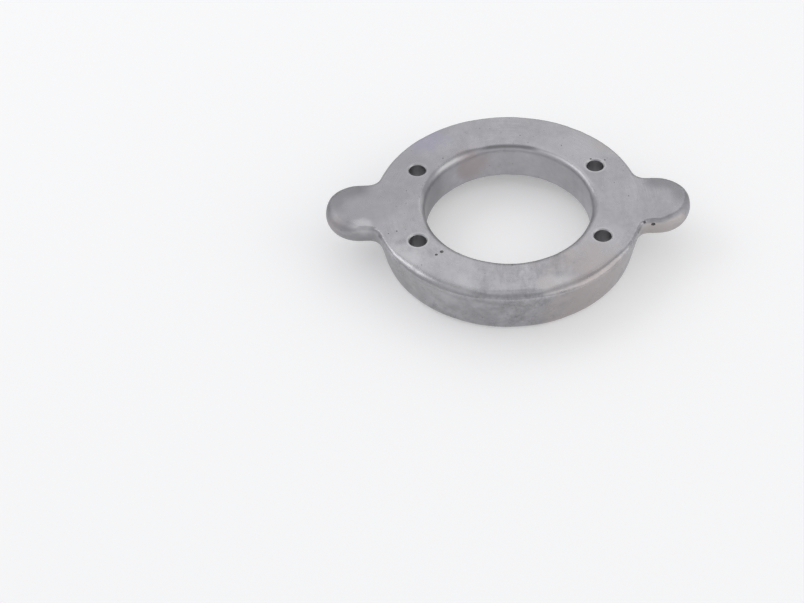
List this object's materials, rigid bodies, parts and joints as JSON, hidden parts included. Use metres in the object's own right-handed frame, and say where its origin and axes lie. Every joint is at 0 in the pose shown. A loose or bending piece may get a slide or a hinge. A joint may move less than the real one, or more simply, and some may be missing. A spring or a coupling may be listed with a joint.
{
  "type": "sacrificial anode",
  "caption": "Cast zinc collar anode: a ring with rounded ears, a lipped recess and counterbored screw holes, bolted round a drive shaft housing to corrode in its place.",
  "frame": {"origin": "on the bore axis, in the plane of the end of the lip: the bottom centre of the box", "axes": "+Z along the bore axis towards the flat mounting face, X through the ears, Y across them"},
  "size_m": [0.1904, 0.1412, 0.028],
  "materials": {
    "cast_zinc": "as-cast zinc, dull light grey, with the flat face lightly dressed"
  },
  "bodies": {
    "root": {"anode_ring": "cast_zinc"}
  },
  "joints": []
}
